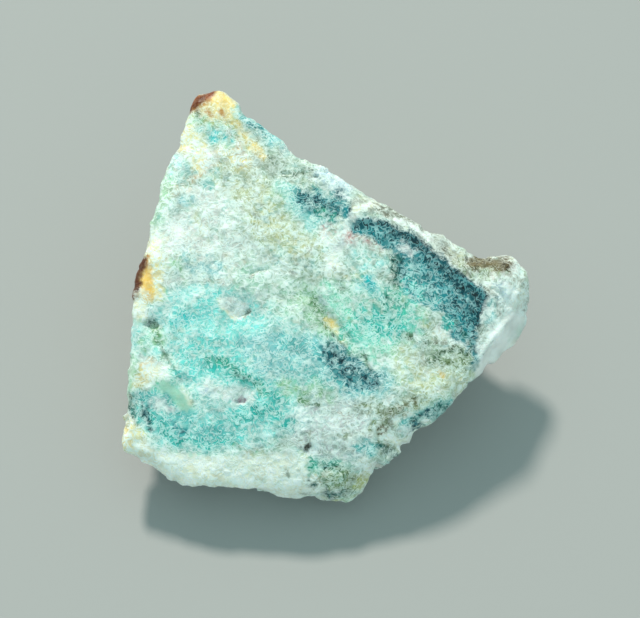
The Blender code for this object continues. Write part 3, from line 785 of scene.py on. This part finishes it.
def move_vertices(piece, places):
    """Puts the piece's vertices at new places, in millimetres."""
    piece.data.vertices.foreach_set("co", (places * MM).astype(np.float32).ravel())
    piece.data.update()


def even_chunk():
    """A copy of the frame's solid, on an even mesh."""
    chunk = bpy.data.objects.new("quartz_chunk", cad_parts["quartz_crystal"].data.copy())
    bpy.context.collection.objects.link(chunk)
    chunk.data.materials.clear()
    pick(chunk)
    bpy.ops.object.mode_set(mode="EDIT")
    bpy.ops.mesh.select_mode(type="EDGE")
    bpy.ops.mesh.select_all(action="SELECT")
    bpy.ops.mesh.remove_doubles(threshold=MERGE * MM)
    bpy.ops.object.mode_set(mode="OBJECT")
    apply_modifier(chunk, "REMESH", mode="VOXEL", voxel_size=VOXEL * MM, use_smooth_shade=True)
    return chunk


def select_face(chunk, deepest, facing):
    """Selects the mesh faces that look out of the broad face and lie near it."""
    mesh = chunk.data
    depth = face_depth(axes_of(vectors_of(mesh.polygons, "center") / MM))
    outward = vectors_of(mesh.polygons, "normal") @ OUTWARDS
    pick(chunk)
    bpy.ops.object.mode_set(mode="EDIT")
    bpy.ops.mesh.select_mode(type="FACE")
    bpy.ops.mesh.select_all(action="DESELECT")
    bpy.ops.object.mode_set(mode="OBJECT")
    mesh.polygons.foreach_set("select", (depth < deepest) & (outward > facing))
    bpy.ops.object.mode_set(mode="EDIT")


def soften(chunk):
    """Takes the edge off the solid's facets, most of all on the broad face."""
    pick(chunk)
    bpy.ops.object.mode_set(mode="EDIT")
    bpy.ops.mesh.select_all(action="SELECT")
    bpy.ops.mesh.vertices_smooth(factor=SMOOTHING, repeat=SOFTEN_ALL)
    bpy.ops.object.mode_set(mode="OBJECT")
    select_face(chunk, FACE_DEPTH, FACE_FACING)
    bpy.ops.mesh.vertices_smooth(factor=SMOOTHING, repeat=SOFTEN_FACE)
    bpy.ops.object.mode_set(mode="OBJECT")


def cut_finer(chunk):
    """Halves the mesh's spacing over the broad face and its rim."""
    select_face(chunk, FINE_DEPTH, FINE_FACING)
    bpy.ops.mesh.subdivide(number_cuts=1)
    bpy.ops.mesh.vertices_smooth(factor=SMOOTHING, repeat=SOFTEN_FINE)
    bpy.ops.mesh.select_all(action="SELECT")
    bpy.ops.mesh.quads_convert_to_tris()
    bpy.ops.object.mode_set(mode="OBJECT")


def draw_rim(chunk):
    """Draws the rim's corners out and presses its bulges in."""
    places = vertices_of(chunk)[0]
    where = axes_of(places)
    for middle, reach, by in PULLS:
        away = np.hypot(where[:, 0] - middle[0], where[:, 1] - middle[1])
        share = 1.0 - smooth(away, PULL_CORE * reach, reach)
        share *= 1.0 - smooth(face_depth(where), *PULL_FADE)
        places += share[:, None] * (by[0] * RIGHTWARDS + by[1] * UPWARDS)
    move_vertices(chunk, within_box(places))


def within_box(places):
    """Places held just inside the frame's box, down to the surface that the chunk rests on."""
    low = np.array(cad_bounds[0]) / MM + BOX_SPARE
    high = np.array(cad_bounds[1]) / MM - BOX_SPARE
    low[2] = 0.0
    return np.clip(places, low, high)


def break_surface(chunk):
    """Works the surface over: chunks, chips, the listed marks and sugary grains. Returns
    where each vertex was before, and how far it faced outwards."""
    places, normals = vertices_of(chunk)
    where = axes_of(places)
    outward = normals @ OUTWARDS
    on_face = smooth(outward, *ON_FACE_FACING) * smooth(face_depth(where), *ON_FACE_DEPTH)
    grit = 1.0 - GRIT_CALM * glassy(where)
    push = np.zeros(len(places))
    for size_of_break in (CHUNKS, CHIPS):
        height = grains(places, *size_of_break)
        push += (height - height.mean()) * (1.0 - FACE_CALM * on_face) * grit
    for reach, deep, path in MARKS:
        inside = 1.0 - smooth(to_path(where[:, :2], path), MARK_CORE * reach, reach)
        push -= deep * inside * on_face
    height = grains(places + normals * push[:, None], *SUGAR)
    push += (height - height.mean()) * grit
    push *= smooth(places[:, 2], 0.0, FOOT_RISE)
    push[(places[:, 2] < FOOT_LEVEL) & (normals[:, 2] < FOOT_FACING)] = 0.0
    move_vertices(chunk, within_box(places + normals * push[:, None]))
    return where, outward


def glassy(where):
    """1 where the quartz is smooth and glassy, falling to 0 round each such place."""
    spots = where[:, :2]
    clear = np.zeros(len(spots))
    for reach, path in GLASSY:
        clear = np.maximum(clear, 1.0 - smooth(to_path(spots, path), GLASSY_CORE * reach, reach))
    return clear


def ground_colour(where):
    """The milky ground, with soft patches that curdle at their edges."""
    ground = np.tile(albedo("milk"), (len(where), 1))
    curdle = CURDLE * (clouds(where, *CURDLE_NOISE) - 0.5)
    for name, size, low, high, strength, seed in GROUND:
        cover = strength * smooth(clouds(where, size, seed) + curdle, low, high)[:, None]
        ground = ground * (1.0 - cover) + albedo(name) * cover
    return ground


def drift(where, noises, amount):
    """How far the stains' edges drift at each point, along U and V."""
    return np.stack([clouds(where, *noise_of) - 0.5 for noise_of in noises], axis=1) * amount


def face_colour(where, ground):
    """The stained broad face, with its painted light and shade."""
    draw = smooth(clouds(where, *DRAW_NOISE), *DRAW_SPAN)
    sway = drift(where, SWAY_NOISES, SWAY)
    ripple = drift(where, RIPPLE_NOISES, RIPPLE)
    return paint(ground, strokes_on_face(), where[:, :2], sway, ripple, draw)


def flank_colour(ground, where):
    """The flanks: milky, with cloudy patches of rust and ochre down the left."""
    away_u = where[:, 0] - FLANK_MIDDLE[0]
    away_v = where[:, 1] - FLANK_MIDDLE[1]
    bearing = np.degrees(np.arctan2(away_v, away_u))
    depth = face_depth(where)
    rusty = smooth(clouds(where, *RUST_NOISE), *RUST_SPAN)
    colour = ground.copy()
    for name, middle, width, top, bottom, strength in FLANKS:
        turn = np.abs((bearing - middle + 180.0) % 360.0 - 180.0)
        cover = (1.0 - smooth(turn, 0.5 * width, width)) * smooth(depth, top - FLANK_FADE_IN, top)
        cover *= (1.0 - smooth(depth, bottom, bottom + FLANK_FADE_OUT)) * strength * rusty
        colour = colour * (1.0 - cover[:, None]) + albedo(name) * cover[:, None]
    return colour


def write_colour(piece, name, colours, alpha):
    """Keeps a colour and an alpha on every vertex of the piece."""
    layer = piece.data.color_attributes.new(name=name, type="FLOAT_COLOR", domain="POINT")
    values = np.concatenate([colours, alpha[:, None]], axis=1)
    layer.data.foreach_set("color", values.astype(np.float32).ravel())


def stain_and_painted_light(chunk, where, outward):
    """Paints the chunk: the milky ground, the face's stains and painted light and shade, and the
    flanks. The alpha says how sugary each place is."""
    ground = ground_colour(where)
    share = smooth(face_depth(where), *STAINED_DEPTH) * smooth(outward, *STAINED_FACING)
    share = share[:, None]
    colour = face_colour(where, ground) * share + flank_colour(ground, where) * (1.0 - share)
    mottle = smooth(clouds(where, *MOTTLE_NOISE), *MOTTLE_SPAN)
    colour *= (MOTTLE_TONE + MOTTLE_GAIN * mottle)[:, None]
    sugary = 1.0 - CURL_CALM * glassy(where)
    write_colour(chunk, "stain_and_painted_light", np.clip(colour, 0.0, 1.0), sugary)


def thin_flanks(chunk):
    """Thins the mesh well below the broad face, most of all on the flat foot."""
    select_face(chunk, FLANK_DEPTH, ANY_FACING)
    bpy.ops.mesh.select_all(action="INVERT")
    bpy.ops.mesh.decimate(ratio=FLANK_SHARE)
    bpy.ops.object.mode_set(mode="OBJECT")
    move_vertices(chunk, within_box(vertices_of(chunk)[0]))


# ---------------------------------------------------------------- material

def node(tree, kind, inputs=None, **settings):
    """Adds a shader node, sets its fields and fills its inputs with numbers or links."""
    made = tree.nodes.new("ShaderNode" + kind)
    for name, value in settings.items():
        setattr(made, name, value)
    for name, value in (inputs or {}).items():
        if isinstance(value, bpy.types.NodeSocket):
            tree.links.new(value, made.inputs[name])
        else:
            made.inputs[name].default_value = value
    return made


def ramp(tree, value, low, high, start, end):
    """An even change from start to end as the value goes from low to high."""
    return node(tree, "MapRange", {"Value": value, "From Min": low, "From Max": high,
                                   "To Min": start, "To Max": end}).outputs[0]


def noise(tree, place, scale, detail, twist):
    """Soft noise about 0.5, bent on itself by its twist."""
    return node(tree, "TexNoise", {"Vector": place, "Scale": scale, "Detail": detail,
                                   "Distortion": twist}).outputs["Fac"]


def math_of(tree, operation, *values):
    """One step of arithmetic."""
    return node(tree, "Math", dict(enumerate(values)), operation=operation).outputs[0]


def line_at(tree, value, level, width):
    """1 where the value is at the level, falling to 0 a width away."""
    away = math_of(tree, "ABSOLUTE", math_of(tree, "SUBTRACT", value, level))
    return ramp(tree, away, CREST_CORE * width, width, 1.0, 0.0)


def blend(tree, share, start, end):
    """A number between two others."""
    return node(tree, "Mix", {0: share, 2: start, 3: end}).outputs[0]


def blend_colours(tree, share, start, end, blend_type="MIX"):
    """A colour between two others, or their product."""
    inputs = {0: share, 6: start, 7: end}
    return node(tree, "Mix", inputs, data_type="RGBA", blend_type=blend_type).outputs[2]


def quartz_shader(tree):
    """The body of the quartz, which carries some light inside it."""
    shader = tree.nodes["Principled BSDF"]
    shader.inputs["IOR"].default_value = REFRACTION
    shader.inputs["Specular IOR Level"].default_value = SHINE
    shader.inputs["Subsurface Weight"].default_value = INNER_LIGHT
    shader.inputs["Subsurface Radius"].default_value = INNER_LIGHT_TINT
    shader.inputs["Subsurface Scale"].default_value = INNER_LIGHT_REACH
    return shader


def quartz_material():
    """Stained, sugary quartz: painted colour, with curled crests and cracks through it; the cracks are
    darkened partly as painted shade beside the crests.
    """
    material = bpy.data.materials.new("stained_quartz")
    material.use_nodes = True
    tree = material.node_tree
    shader = quartz_shader(tree)
    stain_of = node(tree, "Attribute", attribute_name="stain_and_painted_light")
    painted = stain_of.outputs["Color"]
    place = node(tree, "TexCoord").outputs["Object"]
    bright = node(tree, "RGBToBW", {"Color": painted}).outputs[0]
    parts = node(tree, "SeparateColor", {"Color": painted}).outputs
    least = math_of(tree, "MINIMUM", parts["Red"], parts["Blue"])
    pale = ramp(tree, least, *PALE, 0.0, 1.0)
    blue_over_red = math_of(tree, "DIVIDE", parts["Blue"], parts["Red"])
    curled = ramp(tree, blue_over_red, *WARM, WARM_KEEPS, 1.0)
    sugary = math_of(tree, "MULTIPLY", stain_of.outputs["Alpha"], curled)

    curl = noise(tree, place, *CURL_NOISE)
    wide = noise(tree, place, *WIDE_NOISE)
    fine_crest = line_at(tree, curl, CREST_LEVEL, CREST_WIDTH)
    wide_crest = line_at(tree, wide, CREST_LEVEL, WIDE_WIDTH)
    some_fine = math_of(tree, "MULTIPLY", fine_crest, FINE_IN_PALE)
    pale_crest = math_of(tree, "MAXIMUM", wide_crest, some_fine)
    kept = ramp(tree, noise(tree, place, *BROKEN_NOISE), *BROKEN, THINNED, 1.0)
    kept = math_of(tree, "MULTIPLY", kept, sugary)
    crest = math_of(tree, "MULTIPLY", blend(tree, pale, fine_crest, pale_crest), kept)
    # The cracks are the gaps between grains, darkened partly as painted shade on one side of each
    # crest.
    shaded_crack = math_of(tree, "MULTIPLY", line_at(tree, curl, SHADED_CRACK_LEVEL, SHADED_CRACK_WIDTH), sugary)
    sunk = math_of(tree, "MULTIPLY", pale, sugary)
    sunk = math_of(tree, "MULTIPLY", sunk, ramp(tree, bright, *PALE_TONES, *PALE_DEPTH))

    depth = ramp(tree, bright, *SHADED_CRACK_TONES, *SHADED_CRACK_DEPTH)
    gamma = math_of(tree, "MULTIPLY_ADD", shaded_crack, depth, math_of(tree, "ADD", sunk, 1.0))
    deep = node(tree, "Gamma", {"Color": painted, "Gamma": gamma}).outputs[0]
    lifted = node(tree, "Gamma", {"Color": painted, "Gamma": LIFT}).outputs[0]
    white = blend(tree, pale, ramp(tree, bright, *PAINT_TONES, *CREST_WHITE), PALE_CREST_WHITE)
    frost = blend_colours(tree, white, lifted, FROSTING)
    most = blend(tree, pale, ramp(tree, bright, *PAINT_TONES, *CREST_SHARE),
                 ramp(tree, bright, *PALE_TONES, *PALE_CREST_SHARE))
    frosted = blend_colours(tree, math_of(tree, "MULTIPLY", crest, most), deep, frost)
    tone = ramp(tree, noise(tree, place, *HAZE_NOISE), *HAZE_SPAN, *HAZE)
    toned = blend_colours(tree, 1.0, frosted, tone, "MULTIPLY")

    tree.links.new(toned, shader.inputs["Base Color"])
    tree.links.new(ramp(tree, crest, 0.0, 1.0, *ROUGHNESS), shader.inputs["Roughness"])
    bump = node(tree, "Bump", {"Height": crest, "Strength": CREST_STRENGTH, "Distance": CREST_HEIGHT})
    tree.links.new(bump.outputs[0], shader.inputs["Normal"])
    return material


# ---------------------------------------------------------------- studio

# The sky's colour and strength, and each sun's strength, breadth in degrees, colour, and the
# direction that it stands in.
SKY_COLOUR = (0.69, 1.0, 0.975, 1.0)
SKY_STRENGTH = 0.64
KEY = (3.0, 8.0, (1.0, 0.95, 0.85), (-0.30, 0.95, 1.0))
FILL = (0.4, 60.0, (0.95, 1.0, 0.96), (0.1, -1.0, 0.35))
# The floor's width and level in metres, and its material.
FLOOR_WIDTH = 4.0
FLOOR_LEVEL = -0.0001
FLOOR_COLOUR = (0.36, 0.36, 0.36, 1.0)
FLOOR_ROUGHNESS = 0.7


def pale_floor():
    """A plain pale floor, just under the foot."""
    bpy.ops.mesh.primitive_plane_add(size=FLOOR_WIDTH, location=(0.0, 0.0, FLOOR_LEVEL))
    floor = bpy.context.active_object
    floor.name = "floor"
    material = bpy.data.materials.new("pale_floor")
    material.use_nodes = True
    shader = material.node_tree.nodes["Principled BSDF"]
    shader.inputs["Base Color"].default_value = FLOOR_COLOUR
    shader.inputs["Roughness"].default_value = FLOOR_ROUGHNESS
    floor.data.materials.append(material)


def sky():
    """A soft, cool sky all round."""
    world = bpy.data.worlds.new("sky")
    bpy.context.scene.world = world
    world.use_nodes = True
    background = world.node_tree.nodes["Background"]
    background.inputs["Color"].default_value = SKY_COLOUR
    background.inputs["Strength"].default_value = SKY_STRENGTH


def sun(name, strength, breadth, colour, direction):
    """A far lamp that stands in this direction."""
    light = bpy.data.lights.new(name, "SUN")
    light.energy = strength
    light.angle = math.radians(breadth)
    light.color = colour
    lamp = bpy.data.objects.new(name, light)
    bpy.context.collection.objects.link(lamp)
    lamp.rotation_euler = Vector(direction).to_track_quat("Z", "Y").to_euler()


def camera():
    """A long lens, square on to the broad face."""
    sight = bpy.data.cameras.new("camera")
    sight.lens = LENS
    sight.sensor_width = SENSOR
    sight.clip_start = NEAREST
    holder = bpy.data.objects.new("camera", sight)
    bpy.context.collection.objects.link(holder)
    u, v = VIEW_CENTRE
    spot = np.array(FACE_MIDDLE) + u * RIGHTWARDS + v * UPWARDS + OUTWARDS * VIEW_WIDTH * LENS / SENSOR
    holder.location = spot * MM
    holder.rotation_euler = (FACE_LEAN, 0.0, 0.0)
    bpy.context.scene.camera = holder


camera()
bpy.context.scene.view_settings.view_transform = "Standard"
pale_floor()
sky()
sun("key", *KEY)
sun("fill", *FILL)

chunk = even_chunk()
soften(chunk)
cut_finer(chunk)
draw_rim(chunk)
where, outward = break_surface(chunk)
stain_and_painted_light(chunk, where, outward)
thin_flanks(chunk)
chunk.data.materials.append(quartz_material())
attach(chunk, "root")
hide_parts("quartz_crystal")
